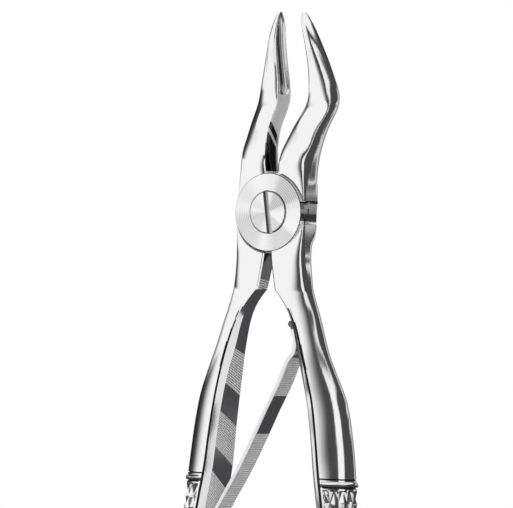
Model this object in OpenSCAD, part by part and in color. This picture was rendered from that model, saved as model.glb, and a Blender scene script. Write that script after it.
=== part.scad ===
// Small spring dental forceps with bayonet beaks, shown half open.
// Two steel levers cross at a lapped screw joint, and one leaf spring keeps the handles apart.
// Z points up to the beaks, the front with the screw's head faces -Y, and X points to the right.
// The origin is on the pivot's axis, in the joint's flat rear face. All sizes are millimetres.

/* [Joint] */
// Thickness of the joint, from its front face to its rear face
joint_t = 5.5; // [5:0.1:6.5]
// Thickness of the rear lever's lap
rear_lap_t = 3.3; // [2.6:0.1:3.6]
// Radius of the round laps
lap_r = 7.8; // [7.4:0.1:8.4]
// Height of the round boss on the front lap
boss_h = 0.8; // [0.3:0.1:1]
// Half of the width across the flats of the laps
waist_half = 7.6; // [7:0.1:7.7]
// Half of the width across the shoulders
shoulder_half = 7.95; // [7.7:0.05:8.1]

/* [Joint screw] */
// Radius of the screw's head
head_r = 4.2; // [3.4:0.1:4.8]
// Height of the head's rim inside the boss and lap
head_sunk = 1.5; // [1:0.1:2]
// How far the head stands out of the boss
head_proud = 0.2; // [0.1:0.05:0.6]
// Radius of the plain shank, on which the front lap turns
shank_r = 2.6; // [2:0.1:3]
// Radius of the thread in the rear lap
thread_r = 2.1; // [1.4:0.1:2.4]
// Width of the slot
slot_w = 1.2; // [0.7:0.05:1.6]
// Depth of the slot
slot_depth = 0.9; // [0.5:0.1:1.2]
// Tilt of the slot from upright, in degrees
slot_tilt = 9; // [0:1:90]

/* [Beaks] */
// Length of the jaws, from the pivot to the tips
jaw_len = 40.2; // [36:0.1:48]
// Half of the width of the hollow in a beak's inner face
hollow_half = 1.6; // [1:0.1:1.7]
// Length of the hollow
hollow_len = 13.9; // [8:0.1:14]
// Depth of the hollow
hollow_depth = 0.4; // [0.2:0.05:0.6]
// Depth of the grooves along the hollow
groove_depth = 0.2; // [0.1:0.05:0.3]
// Number of grooves along the hollow
grooves = 5; // [3:1:6]

/* [Handles] */
// Length of the handles, from the pivot to their ends
handle_len = 88; // [82:1:110]
// Distance from the pivot to the collar above the grip
collar_at = 52.45; // [48:0.05:56]
// Height of the collar's ridge over the handle
collar_h = 0.35; // [0.1:0.05:0.6]
// Depth of the chequering
chequer_depth = 0.5; // [0.2:0.05:0.7]
// Half of a chequer's length along the handle
chequer_half = 2.3; // [1.6:0.1:3]
// Length of the rounding at a handle's end
end_round = 3; // [2:0.1:3.5]

/* [Leaf spring] */
// Width of the spring
spring_w = 4.8; // [3.6:0.1:5.6]
// Thickness of the spring
spring_t = 0.9; // [0.6:0.05:1.2]
// Radius of the rolled end that rubs on the right handle
roll_r = 0.65; // [0.5:0.05:0.9]
// Distance of the spring's fixed end from the handle's end
spring_foot_up = 12; // [9:0.5:14]

/* [Spring screw] */
// Distance of the spring's screw from the handle's end
spring_screw_up = 18; // [16:0.5:20]
// Radius of its head
small_head_r = 1.7; // [1.3:0.1:2]
// Height of its head
small_head_h = 0.9; // [0.6:0.1:1.2]
// Radius of its thread
small_thread_r = 0.9; // [0.6:0.1:1.1]
// Length of its thread inside the handle
small_thread_len = 4; // [2.5:0.1:5]

/* [Fits] */
// Running gap between the laps, and between shank and bore
run_gap = 0.05; // [0.02:0.01:0.1]
// Gap round a thread in its tapped hole
thread_gap = 0.02; // [0.01:0.01:0.05]
// Gap round the laps, where each lever is cut back for the other
side_gap = 0.45; // [0.1:0.05:0.6]
// Gap between the spring and the handles that it lies on
seat_gap = 0.02; // [0.01:0.01:0.2]

/* [Hidden] */
steel = "#d9dbdd";
spring_steel = "#c3c6ca";
smooth = 96;
neck_start = 1;
joint_front = -joint_t;
joint_mid = -joint_t / 2;
joint_half = joint_t / 2;
lap_split = -rear_lap_t;
boss_y = joint_front - boss_h;
boss_bevel = 0.2;
root = 0.5;
front_lap_back = lap_split - run_gap;
head_seat = boss_y + head_sunk;
well_r = head_r + run_gap;
spring_mid = -2.2;
spring_end = handle_len - spring_foot_up;
spring_screw_at = handle_len - spring_screw_up;

// Stations of the right jaw, outwards from the pivot: distance, middle x, half width, middle y,
// half depth, then the squareness of four corners: outer front, outer rear, inner front, inner rear
jaw_stations = [
    [neck_start, shoulder_half / 2 + 0.3, shoulder_half / 2 - 0.3, joint_mid, joint_half, 14, 14, 6, 3],
    [2.4, shoulder_half / 2 + 0.3, shoulder_half / 2 - 0.3, joint_mid, joint_half, 14, 14, 6, 3],
    [5.2, 4.25, 3.6, -2.55, 3.1, 8, 4, 5, 2.4],
    [8.2, 4.5, 3.5, -2.35, 3.6, 3.6, 2.5, 4.5, 2],
    [0.264 * jaw_len, 4.7, 3.45, -2.25, 3.9, 2.8, 2.4, 4.5, 1.7],
    [0.413 * jaw_len, 5.5, 2.95, 0.05, 3.6, 1.9, 2.3, 4.5, 2],
    [0.577 * jaw_len, 6.15, 2.85, 4, 3, 2.1, 2.1, 4.5, 3.6],
    [0.711 * jaw_len, 5.6, 2.15, 3.1, 2.4, 2, 2, 6, 6],
    [0.861 * jaw_len, 4.45, 1.2, 1.45, 2.15, 2, 2, 6, 6],
    [jaw_len - 1.6, 3.3, 0.7, 0.5, 1.5, 2, 2, 5, 5],
    [jaw_len - 0.6, 3.05, 0.45, 0.3, 1, 2, 2, 3, 3],
    [jaw_len, 2.85, 0.12, 0.2, 0.35, 2, 2, 3, 3]
];

// Stations of the right handle, outwards from the pivot: distance, inner x, outer x, middle y,
// half depth, reach of the inner flat to the front and to the rear, width of the land in front of it
// and of the one behind it, squareness of the outer front corner and of the outer rear corner
handle_stations = [
    [neck_start, 0.6, shoulder_half, joint_mid, joint_half, joint_half - 0.3, 2, 0.4, 1.2, 14, 14],
    [2.4, 0.6, shoulder_half, joint_mid, joint_half, joint_half - 0.3, 2, 0.4, 1.2, 14, 14],
    [5.2, 0.6, 7.95, -2.8, 3.1, 2.8, 1.4, 0.4, 1.6, 8, 2.6],
    [8, 0.7, 7.9, -2.85, 3.3, 2.95, 0.9, 0.4, 2, 6, 2.2],
    [13.4, 1.55, 8.45, -2.8, 3.3, 2.95, 0.4, 0.4, 2.4, 4, 2],
    [15.4, 1.95, 8.9, -2.85, 3.25, 2.9, 0.3, 0.4, 2.4, 3.2, 1.9],
    [16.2, 2.65, 9.15, -2.87, 3.22, 2.85, 0.3, 0.45, 2.4, 3, 1.9],
    [19, 4.7, 10.15, -2.9, 3.2, 2.6, 0.5, 0.6, 2.2, 2.3, 1.9],
    [22, 6, 11.2, -2.9, 3.2, 2.4, 0.9, 0.9, 2, 2.2, 1.9],
    [27.4, 7.4, 12.95, -2.9, 3.35, 2.35, 1.6, 1.3, 1.8, 2.1, 1.9],
    [32, 8.7, 14.95, -2.6, 3.5, 2.8, 2.6, 1.3, 1.5, 2, 2],
    [37.4, 10, 17.1, -2.1, 3.7, 3.1, 3.2, 1.3, 1.3, 1.9, 2.3],
    [45.4, 11.2, 18.6, -1.7, 4.05, 3.4, 3.6, 1.3, 1.3, 1.9, 2.2],
    [51.4, 11.9, 19.3, -1.5, 4.2, 3.5, 3.8, 1.3, 1.3, 2, 2.1],
    [58.4, 13.1, 19.9, -1.5, 4.3, 3.6, 3.9, 1.3, 1.3, 2.1, 2.1],
    [65, 14.1, 20.6, -1.5, 4.3, 3.6, 3.9, 1.3, 1.3, 2.1, 2.1],
    [handle_len - 11, 14.3, 20.7, -1.5, 4.2, 3.5, 3.8, 1.3, 1.3, 2.1, 2.1],
    [handle_len, 14.3, 20.6, -1.5, 4, 3.3, 3.6, 1.3, 1.3, 2.1, 2.1]
];

// A smooth track through the stations, which never overshoots them
function slope(s, i, c) = (s[i + 1][c] - s[i][c]) / (s[i + 1][0] - s[i][0]);
function eased(a, b) = a * b <= 0 ? 0 : 2 * a * b / (a + b);
function tangent(s, i, c) =
    i == 0 ? slope(s, 0, c)
    : i == len(s) - 1 ? slope(s, i - 1, c)
    : eased(slope(s, i - 1, c), slope(s, i, c));
function span_of(s, d, i = 0) = i >= len(s) - 2 || d < s[i + 1][0] ? i : span_of(s, d, i + 1);
function cubic(a, b, ta, tb, t) =
    a * (1 + 2 * t) * pow(1 - t, 2) + ta * t * pow(1 - t, 2)
    + b * t * t * (3 - 2 * t) + tb * t * t * (t - 1);
function track(s, c, d) =
    let (i = span_of(s, d), run = s[i + 1][0] - s[i][0], t = (d - s[i][0]) / run)
    cubic(s[i][c], s[i + 1][c], run * tangent(s, i, c), run * tangent(s, i + 1, c), t);
function mix(a, b, t) = a + (b - a) * t;
function ramp(v, a, b) = min(1, max(0, (v - a) / (b - a)));

// Cosine and sine drawn out towards a square, for cross-sections between an oval and a box
function squared(v, n) = sign(v) * pow(abs(v), 2 / n);

// One closed skin through rings of points that rise along Z. Each ring runs anticlockwise from above.
// The diagonals of neighbouring cells alternate, so that a chequer's edges run along its grooves.
module loft(rings) {
    n = len(rings[0]);
    last = len(rings) - 1;
    points = [for (ring = rings) each ring];
    sides = [
        for (i = [0 : last - 1], j = [0 : n - 1])
            let (a = i * n + j, b = i * n + (j + 1) % n, c = b + n, d = a + n)
            each (i + j) % 2 == 0 ? [[a, d, b], [b, d, c]] : [[a, c, b], [a, d, c]]
    ];
    foot = [for (j = [0 : n - 1]) j];
    top = [for (j = [n - 1 : -1 : 0]) last * n + j];
    polyhedron(points, concat([foot], sides, [top]), convexity = 6);
}

// A round bar along Y from y0 back to y1
module bar_y(r, y0, y1) {
    translate([0, y1, 0])
        rotate([90, 0, 0])
            cylinder(r = r, h = y1 - y0, $fn = smooth);
}

// A round bar along X from x0 to x1, at the height of the spring's screw
module bar_x(r, x0, x1) {
    translate([x0, spring_mid, -spring_screw_at])
        rotate([0, 90, 0])
            cylinder(r = r, h = x1 - x0, $fn = smooth);
}

// The hollow in a beak's inner face
hollow_end = jaw_len - 0.9;
hollow_start = hollow_end - hollow_len;
hollow_edge = 0.4;
hollow_rim = 0.5;
hollow_columns = 2 * grooves;
outer_columns = 16;
neck_rows = 18;
beak_rows = 8;

function hollow_fade(d) =
    min(ramp(d, hollow_start, hollow_start + hollow_edge), ramp(d, hollow_end, hollow_end - hollow_edge));
function hollow_at(k, d) =
    k == 0 || k == hollow_columns ? 0
    : hollow_fade(d) * (
        hollow_depth * (1 - 0.5 * pow(1 - 2 * k / hollow_columns, 2)) + (k % 2) * groove_depth
    );

// One ring of the right jaw: the inner face with its hollow, then the rounded outside
function jaw_ring(d) =
    let (
        x = track(jaw_stations, 1, d),
        hx = track(jaw_stations, 2, d),
        y = track(jaw_stations, 3, d),
        hy = track(jaw_stations, 4, d),
        n_of = track(jaw_stations, 5, d),
        n_or = track(jaw_stations, 6, d),
        n_if = track(jaw_stations, 7, d),
        n_ir = track(jaw_stations, 8, d),
        w = min(hollow_half, max(0.6 * hy, hy - hollow_rim)),
        first = asin(pow(w / hy, n_if / 2)),
        last = 360 - asin(pow(w / hy, n_ir / 2))
    )
    concat(
        [
            for (k = [0 : hollow_columns])
                let (v = w * (1 - 2 * k / hollow_columns), n = v > 0 ? n_ir : n_if)
                [x - hx * pow(1 - pow(abs(v) / hy, n), 1 / n) + hollow_at(k, d), y + v, d]
        ],
        [
            for (j = [1 : outer_columns - 1])
                let (
                    a = mix(first, last, j / outer_columns),
                    n = sin(a) > 0 ? (cos(a) > 0 ? n_if : n_of) : (cos(a) > 0 ? n_ir : n_or)
                )
                [x - hx * squared(cos(a), n), y - hy * squared(sin(a), n), d]
        ]
    );

jaw_rows = concat(
    [for (i = [0 : neck_rows]) mix(neck_start, hollow_start, i / neck_rows)],
    [for (i = [0 : beak_rows]) mix(hollow_start + hollow_edge, hollow_end - hollow_edge, i / beak_rows)],
    [hollow_end, jaw_len - 0.5, jaw_len - 0.2, jaw_len]
);

module right_jaw() {
    loft([for (d = jaw_rows) jaw_ring(d)]);
}

// The grip: a collar, then rows of pointed chequers on the outer side of a handle
arc_columns = 16;
plain_columns = 1;
shank_rows = 25;
line_depth = 0.3;
collar_rows = [
    [0, 0],
    [0.15, -line_depth],
    [0.3, 0],
    [0.6, 0],
    [0.85, 0.7 * collar_h],
    [1.2, collar_h],
    [1.55, 0.8 * collar_h],
    [1.8, -line_depth],
    [2, 0]
];
collar_len = collar_rows[len(collar_rows) - 1][0];
chequer_start = collar_at + collar_len + 0.55;
round_start = handle_len - end_round;
chequer_count = floor((round_start - 0.4 - chequer_start) / chequer_half);
end_rows = 5;

// Rows of a handle as distance, collar height, and whether the row is chequered
handle_rows = concat(
    [for (i = [0 : shank_rows]) [mix(neck_start, collar_at - 0.1, i / shank_rows), 0, false]],
    [for (c = collar_rows) [collar_at + c[0], c[1], false]],
    [for (i = [0 : chequer_count]) [chequer_start + i * chequer_half, 0, true]],
    [for (i = [0 : end_rows]) [round_start + end_round * sin(80 * i / end_rows), 0, false]]
);

function end_shrink(d) = sqrt(1 - pow(max(0, (d - round_start) / end_round), 2));
function relief(row, i, j) =
    j < plain_columns || j > arc_columns - plain_columns ? 0
    : !row[2] ? row[1]
    : j == plain_columns || j == arc_columns - plain_columns ? 0
    : (i + j) % 2 == 0 ? 0 : -chequer_depth;

// A land is a bevel beside the inner flat, bowed a little: its run outwards and its rise
land_bow = 0.15;
function run(t) = mix(t / 3, 1 - cos(30 * t), land_bow);
function rise(t) = mix(t / 3, sin(30 * t), land_bow);

// One ring of the right handle: the flat inner face, the lands beside it and the rounded outside
function handle_ring(i) =
    let (
        row = handle_rows[i],
        d = row[0],
        x0 = track(handle_stations, 1, d),
        x1 = track(handle_stations, 2, d),
        y = track(handle_stations, 3, d),
        hy = track(handle_stations, 4, d),
        front = track(handle_stations, 5, d),
        rear = track(handle_stations, 6, d),
        land_f = track(handle_stations, 7, d),
        land_r = track(handle_stations, 8, d),
        n_of = track(handle_stations, 9, d),
        n_or = track(handle_stations, 10, d),
        xm = (x0 + x1) / 2,
        k = end_shrink(d),
        ring = concat(
            [[x0, rear], [x0, -front]],
            [for (t = [1, 2]) [x0 + land_f * run(t), -front - (hy - front) * rise(t)]],
            [
                for (j = [0 : arc_columns])
                    let (
                        a = 180 * j / arc_columns - 90,
                        out = relief(row, i, j),
                        n = a < 0 ? n_of : n_or,
                        inner = x0 + (a < 0 ? land_f : land_r)
                    )
                    [
                        inner + (x1 - inner) * squared(cos(a), n) + out * cos(a),
                        hy * squared(sin(a), n) + out * sin(a)
                    ]
            ],
            [for (t = [2, 1]) [x0 + land_r * run(t), rear + (hy - rear) * rise(t)]]
        )
    )
    [for (p = ring) [xm + k * (p[0] - xm), y + k * p[1], -d]];

module right_handle() {
    last = len(handle_rows) - 1;
    loft([for (i = [last : -1 : 0]) handle_ring(i)]);
}

// The leaf spring's middle line, as x at a distance below the pivot. Its foot lies on the left
// handle's inner face, and its upper end bows over to the right handle and rolls back from it.
foot_top = spring_screw_at - 5;
roll_at = 22.1;
crest_at = 25.8;
arm_at = 29.6;
arm_x = 4.6;
rub_gap = 0.2;
function inner_x(d) = track(handle_stations, 1, d);
function foot_x(d) = seat_gap + spring_t / 2 - inner_x(d);
crest_x = inner_x(crest_at) - rub_gap - spring_t / 2;
roll_x = inner_x(roll_at) - rub_gap - roll_r;
// The long arm is nearly straight: shares of its run and of its drop to the foot
arm_shares = [[0.11, 0.09], [0.28, 0.26], [0.45, 0.42], [0.62, 0.59], [0.81, 0.81]];
spring_stations = concat(
    [
        [roll_at, roll_x + roll_r - spring_t / 2],
        [23.6, crest_x - 0.55],
        [crest_at, crest_x],
        [27.6, crest_x - 0.3],
        [arm_at, arm_x]
    ],
    [for (s = arm_shares) [mix(arm_at, foot_top, s[0]), mix(arm_x, foot_x(foot_top), s[1])]],
    [
        [foot_top, foot_x(foot_top)],
        [foot_top + 1, foot_x(foot_top + 1)]
    ]
);
function spring_x(d) = d > foot_top ? foot_x(d) : track(spring_stations, 1, d);
spring_steps = 46;
spring_line = [for (i = [0 : spring_steps]) mix(roll_at, spring_end, i / spring_steps)];

// A point beside the middle line at distance d, offset to its right by side
function beside(d, side) =
    let (run = 0.1, lean = (spring_x(d + run) - spring_x(d)) / run, long = sqrt(1 + lean * lean))
    [spring_x(d) + side / long, -d + side * lean / long];

handle_face = -inner_x(spring_screw_at);
small_head_x = handle_face + spring_t + 3 * seat_gap;

// The small screw's flat head, cut by its slot
small_slot_w = 0.5;
small_slot_end = spring_screw_at + 2 * small_head_r;
module small_head() {
    difference() {
        bar_x(small_head_r, small_head_x, small_head_x + small_head_h);
        translate([small_head_x + small_head_h / 2, spring_mid - small_slot_w / 2, -small_slot_end])
            cube([small_head_h, small_slot_w, 4 * small_head_r]);
    }
}

// A lap: a round plate with its two sides cut back to the waist
module lap(y0, y1) {
    intersection() {
        bar_y(lap_r, y0, y1);
        translate([-waist_half, y0, -lap_r])
            cube([2 * waist_half, y1 - y0, 2 * lap_r]);
    }
}

// The raised round boss on the front lap, with a bevelled edge and its root inside the lap
module boss() {
    rotate([90, 0, 0])
        rotate_extrude($fn = smooth)
            polygon([
                [0, root - joint_front],
                [lap_r, root - joint_front],
                [lap_r, -boss_y - boss_bevel],
                [lap_r - boss_bevel, -boss_y],
                [0, -boss_y]
            ]);
}

// Front lever: left jaw, front lap with its boss, right handle
module front_half() {
    color(steel)
        difference() {
            union() {
                difference() {
                    union() {
                        mirror([1, 0, 0]) right_jaw();
                        right_handle();
                    }
                    bar_y(lap_r + side_gap, front_lap_back, joint_t);
                }
                lap(joint_front, front_lap_back);
                boss();
            }
            bar_y(well_r, boss_y - 1, head_seat + run_gap);
            bar_y(shank_r + run_gap, boss_y, 0);
        }
}

// Rear lever: right jaw, rear lap, left handle with the spring's tapped hole
module rear_half() {
    color(steel)
        difference() {
            union() {
                difference() {
                    union() {
                        right_jaw();
                        mirror([1, 0, 0]) right_handle();
                    }
                    bar_y(lap_r + side_gap, 2 * boss_y, lap_split);
                }
                lap(lap_split, 0);
            }
            bar_y(thread_r + thread_gap, boss_y, 1);
            bar_x(small_thread_r + thread_gap, handle_face - small_thread_len - 0.5, handle_face + 1);
        }
}

module joint_screw() {
    color(spring_steel)
        difference() {
            union() {
                bar_y(head_r, boss_y - head_proud, head_seat);
                bar_y(shank_r, head_seat - root, lap_split);
                bar_y(thread_r, lap_split - root, 0);
            }
            rotate([0, -slot_tilt, 0])
                translate([-slot_w / 2, boss_y - head_proud - 1, -head_r - 1])
                    cube([slot_w, slot_depth + 1, 2 * head_r + 2]);
        }
}

module leaf_spring() {
    color(spring_steel)
        difference() {
            union() {
                translate([0, spring_mid + spring_w / 2, 0])
                    rotate([90, 0, 0])
                        linear_extrude(spring_w)
                            polygon(concat(
                                [for (d = spring_line) beside(d, -spring_t / 2)],
                                [for (i = [spring_steps : -1 : 0]) beside(spring_line[i], spring_t / 2)]
                            ));
                translate([roll_x, spring_mid + spring_w / 2, -roll_at])
                    rotate([90, 0, 0])
                        cylinder(r = roll_r, h = spring_w, $fn = smooth);
            }
            bar_x(small_thread_r + thread_gap, handle_face - 1, small_head_x + 1);
        }
}

module spring_screw() {
    color(steel) {
        small_head();
        bar_x(small_thread_r, handle_face - small_thread_len, small_head_x);
    }
}

front_half();
rear_half();
joint_screw();
leaf_spring();
spring_screw();
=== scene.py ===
# %% [markdown]
# # Dental forceps: the finished model
# The CAD frame holds the two levers, the joint screw, the leaf spring and its small screw, all at
# their real size. This lesson dresses them: each forging gets a finer skin, each part its finish,
# and the whole a plain white studio.

# %% Load the frame
import math

import bmesh
import bpy
import numpy as np
from mathutils import Matrix, Vector


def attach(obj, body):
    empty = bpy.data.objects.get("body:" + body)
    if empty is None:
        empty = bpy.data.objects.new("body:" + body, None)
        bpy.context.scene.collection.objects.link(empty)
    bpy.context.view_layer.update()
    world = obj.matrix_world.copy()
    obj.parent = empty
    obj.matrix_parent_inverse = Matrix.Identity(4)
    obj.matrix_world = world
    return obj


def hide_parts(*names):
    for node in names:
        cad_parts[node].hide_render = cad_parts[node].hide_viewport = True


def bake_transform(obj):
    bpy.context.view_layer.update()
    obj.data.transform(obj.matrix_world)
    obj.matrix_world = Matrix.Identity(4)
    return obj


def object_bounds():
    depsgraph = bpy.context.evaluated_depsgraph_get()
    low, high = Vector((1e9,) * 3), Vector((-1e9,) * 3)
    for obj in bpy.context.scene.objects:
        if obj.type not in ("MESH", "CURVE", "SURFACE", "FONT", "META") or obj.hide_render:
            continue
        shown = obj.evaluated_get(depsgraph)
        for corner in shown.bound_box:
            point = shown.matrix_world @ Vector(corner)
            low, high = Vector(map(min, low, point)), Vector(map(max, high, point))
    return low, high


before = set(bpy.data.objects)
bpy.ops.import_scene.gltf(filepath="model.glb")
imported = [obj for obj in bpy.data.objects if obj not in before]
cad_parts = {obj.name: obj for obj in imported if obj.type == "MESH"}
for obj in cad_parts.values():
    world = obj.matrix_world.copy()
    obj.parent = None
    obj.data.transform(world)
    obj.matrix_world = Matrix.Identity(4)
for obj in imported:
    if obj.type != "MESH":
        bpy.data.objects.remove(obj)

cad_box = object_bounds()
MM = 0.001
print("CAD nodes:", sorted(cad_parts))
print("CAD box in mm:", [round(v / MM, 1) for corner in cad_box for v in corner])

# %% [markdown]
# ## The camera
# The picture looks at the joint from 33 degrees to its right, level, and the tool leans 2 degrees
# clockwise. It shows no convergence, so a long lens from 1.5 m away suits it better than a short one.
# The picture's scale is 5 pixels to the millimetre.

# %% Camera
PICTURE = (513, 508)
PIXELS_PER_MM = 5.0
VIEW_AZIMUTH = math.radians(33)
VIEW_ROLL = math.radians(2)
CAMERA_DISTANCE = 1.5
MIDDLE_RIGHT, MIDDLE_UP = -5.41 * MM, -8.42 * MM  # the picture's middle, seen from the joint

to_camera = Vector((math.sin(VIEW_AZIMUTH), -math.cos(VIEW_AZIMUTH), 0))
to_right = Vector((math.cos(VIEW_AZIMUTH), math.sin(VIEW_AZIMUTH), 0))
up = Vector((0, 0, 1))
picture_right = math.cos(VIEW_ROLL) * to_right + math.sin(VIEW_ROLL) * up
picture_up = math.cos(VIEW_ROLL) * up - math.sin(VIEW_ROLL) * to_right
target = MIDDLE_RIGHT * to_right + MIDDLE_UP * up

lens = bpy.data.cameras.new("studio_camera")
camera = bpy.data.objects.new("studio_camera", lens)
bpy.context.scene.collection.objects.link(camera)
pose = Matrix((picture_right, picture_up, to_camera)).transposed().to_4x4()
pose.translation = target + CAMERA_DISTANCE * to_camera
camera.matrix_world = pose
field = PICTURE[0] / PIXELS_PER_MM * MM
lens.lens = lens.sensor_width * CAMERA_DISTANCE / field
lens.clip_start, lens.clip_end = 0.05, 20
bpy.context.scene.camera = camera
print("lens", round(lens.lens), "mm for a field of", round(field / MM, 1), "mm")

# %% [markdown]
# ## The white studio
# Polished steel has hardly a colour of its own: it shows what stands round it. The picture's steel is
# white with black bands, so the room is white, and black boards stand beside and behind the tool.
# Camera, glossy and transmission rays see the white at strength 1, and other rays a softer light.

# %% Colour and node helpers
def linear(code):
    """An sRGB hex colour as linear red, green, blue and alpha."""
    parts = [int(code[i : i + 2], 16) / 255 for i in (1, 3, 5)]
    return [c / 12.92 if c <= 0.04045 else ((c + 0.055) / 1.055) ** 2.4 for c in parts] + [1]


def node(tree, kind, links=None, **settings):
    """Adds a node, sets its properties or inputs, and links its inputs to other nodes' outputs."""
    made = tree.nodes.new("ShaderNode" + kind)
    for name, value in settings.items():
        socket = made.inputs.get(name.replace("_", " "))
        if socket is not None:
            socket.default_value = value
        else:
            setattr(made, name, value)
    for name, source in (links or {}).items():
        tree.links.new(source, made.inputs[name])
    return made


def maths(tree, kind, *values):
    """One Math node from numbers and sockets."""
    made = node(tree, "Math", operation=kind)
    for k, value in enumerate(values):
        if isinstance(value, (int, float)):
            made.inputs[k].default_value = value
        else:
            tree.links.new(value, made.inputs[k])
    return made.outputs[0]


# %% World
world = bpy.data.worlds.new("white_room")
bpy.context.scene.world = world
world.use_nodes = True
room = world.node_tree
room.nodes.clear()
path = node(room, "LightPath")
camera_ray, glossy_ray, clear_ray = [
    path.outputs["Is " + kind + " Ray"] for kind in ("Camera", "Glossy", "Transmission")
]
seen = maths(room, "MAXIMUM", maths(room, "MAXIMUM", camera_ray, glossy_ray), clear_ray)
soft = node(room, "Background", Color=linear("#FFFFFF"), Strength=0.6)
white = node(room, "Background", Color=linear("#FFFFFF"), Strength=1.0)
both = node(room, "MixShader", {0: seen, 1: soft.outputs[0], 2: white.outputs[0]})
node(room, "OutputWorld", {"Surface": both.outputs[0]})
bpy.context.scene.view_settings.view_transform = "Standard"
print("white room ready")

# %% [markdown]
# ## Floor
# The tool stands on its handles' ends, on a round pale table that keeps its shadow. The table is
# small enough to stay out of the main picture, as the object there is shown on bare white.

# %% Floor
FLOOR_RADIUS = 0.6
floor_height = cad_box[0].z - 0.0002


def new_object(name, mesh):
    made = bpy.data.objects.new(name, mesh)
    bpy.context.scene.collection.objects.link(made)
    return made


def mesh_of(name, points, faces):
    mesh = bpy.data.meshes.new(name)
    mesh.from_pydata(points, [], faces)
    mesh.update()
    return mesh


turns = [2 * math.pi * i / 96 for i in range(96)]
rim = [(FLOOR_RADIUS * math.cos(t), FLOOR_RADIUS * math.sin(t), floor_height) for t in turns]
floor = new_object("pale_table", mesh_of("pale_table", rim, [tuple(range(len(rim)))]))
paper = bpy.data.materials.new("matt_white_board")
paper.use_nodes = True
coat = paper.node_tree.nodes["Principled BSDF"]
coat.inputs["Base Color"].default_value = linear("#F1F1F0")
coat.inputs["Roughness"].default_value = 0.9
coat.inputs["Specular IOR Level"].default_value = 0
floor.data.materials.append(paper)
print("table at", round(floor_height / MM, 1), "mm")

# %% [markdown]
# ## Lamp and tent
# One large soft lamp stands above and to the left, for the table's shadow. For the steel there is a
# tent: a round wall that only reflections see. Black boards would do for one straight edge each, but
# the picture's reflections bend along the tool, so the boards are painted on the wall, with straight
# or slanting edges, some of them soft. A place on the wall is an angle round from the camera, to the
# right where positive, and a height in millimetres from the joint.

# %% Lamp
LAMP_WATTS = 7
LAMP_SIZE = 0.8
LAMP_DISTANCE = 1.2
LAMP_ANGLE, LAMP_HEIGHT = -50, 55


def direction(angle, height=0):
    """Unit vector at this angle round from the camera and this height, both in degrees."""
    a, h = math.radians(angle), math.radians(height)
    level = math.cos(a) * to_camera + math.sin(a) * to_right
    return math.cos(h) * level + math.sin(h) * up


soft_lamp = bpy.data.lights.new("soft_lamp", "AREA")
soft_lamp.energy, soft_lamp.size = LAMP_WATTS, LAMP_SIZE
lamp = new_object("soft_lamp", soft_lamp)
lamp_place = target + LAMP_DISTANCE * direction(LAMP_ANGLE, LAMP_HEIGHT)
turn = (lamp_place - target).to_track_quat("Z", "Y").to_matrix().to_4x4()
lamp.matrix_world = Matrix.Translation(lamp_place) @ turn
lamp.visible_glossy = False
print("lamp at", [round(v, 2) for v in lamp_place])

# %% Tent wall
WALL_RADIUS = 0.3
WALL_TOP = 350
WALL_STEP = 1.5
BOARD_TONE = linear("#48484A")[0]
angles = np.arange(-180, 180, 1.0)
wall_low = floor_height / MM
heights = np.arange(wall_low, WALL_TOP, WALL_STEP)
A, H = np.meshgrid(angles, heights)


def fade(value, start, end):
    """0 before the start and 1 from the end on, eased; the end may lie below the start."""
    t = np.clip((value - start) / (end - start), 0, 1)
    return t * t * (3 - 2 * t)


# The right board, with a leaning soft left edge, a step and two small notches in its right edge,
# which light the laps' flank and the facet above it, and a slanting foot.
edge_heights = [-2.5, -1.5, 3.5, 5, 17, 19, 27, 31, 90, 97]
right_edge = np.interp(H, edge_heights, [121, 108, 108, 121, 121, 108, 108, 121, 121, 152])
foot = np.interp(A, [0, 60, 115], [-88, -66, -42])
left_edge = fade(A, -50 + 0.2 * H, -12 + 0.22 * H)
right_board = left_edge * fade(A, right_edge + 1, right_edge - 1)
right_board *= fade(H, 190, 175) * fade(H, foot - 3, foot + 3)
# A slit in it lets a white streak through.
slit_heights = [-15, 20, 50, 80, 105, 125, 142, 150]
slit_left = np.interp(H, slit_heights, [8, 8, 10, 14, 26, 44, 60, 72])
slit_right = np.interp(H, slit_heights, [36, 36, 32, 40, 50, 60, 72, 78])
slit = fade(A, slit_left - 1, slit_left + 1) * fade(A, slit_right + 1, slit_right - 1) * (H < 150)
# Two boards behind the tool on the left: a low one, and a high one with a wide soft edge.
low_board = fade(A, -85, -120) * fade(H, -73, -67) * fade(H, 4, -12)
high_board = fade(A, -75, -120) * fade(H, 40, 50)
cover = np.maximum.reduce([right_board * (1 - slit), low_board, high_board])
tone = 1 - (1 - BOARD_TONE) * cover
print("tent:", tone.size, "places, of which", int((cover > 0.5).sum()), "dark")


def only_reflected(board):
    """Hides a board from every ray but a mirror's."""
    for ray in ("camera", "diffuse", "transmission", "shadow", "volume_scatter"):
        setattr(board, "visible_" + ray, False)


columns = len(angles)
wall_points = []
for h in heights:
    wall_points += [WALL_RADIUS * direction(t) + float(h) * MM * up for t in angles]
wall_faces = []
for low in range(0, (len(heights) - 1) * columns, columns):
    high = low + columns
    for j in range(columns):
        k = (j + 1) % columns
        wall_faces.append((low + j, low + k, high + k, high + j))
wall = new_object("tent_wall", mesh_of("tent_wall", wall_points, wall_faces))
paint = np.ones((tone.size, 4), np.float32)
paint[:, :3] = tone.reshape(-1, 1)
boards = wall.data.color_attributes.new("boards", "FLOAT_COLOR", "POINT")
boards.data.foreach_set("color", paint.ravel())


def glowing(name):
    made = bpy.data.materials.new(name)
    made.use_nodes = True
    made.node_tree.nodes.clear()
    glow = node(made.node_tree, "Emission", Strength=1.0)
    node(made.node_tree, "OutputMaterial", {"Surface": glow.outputs[0]})
    return made, made.node_tree, glow


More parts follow.
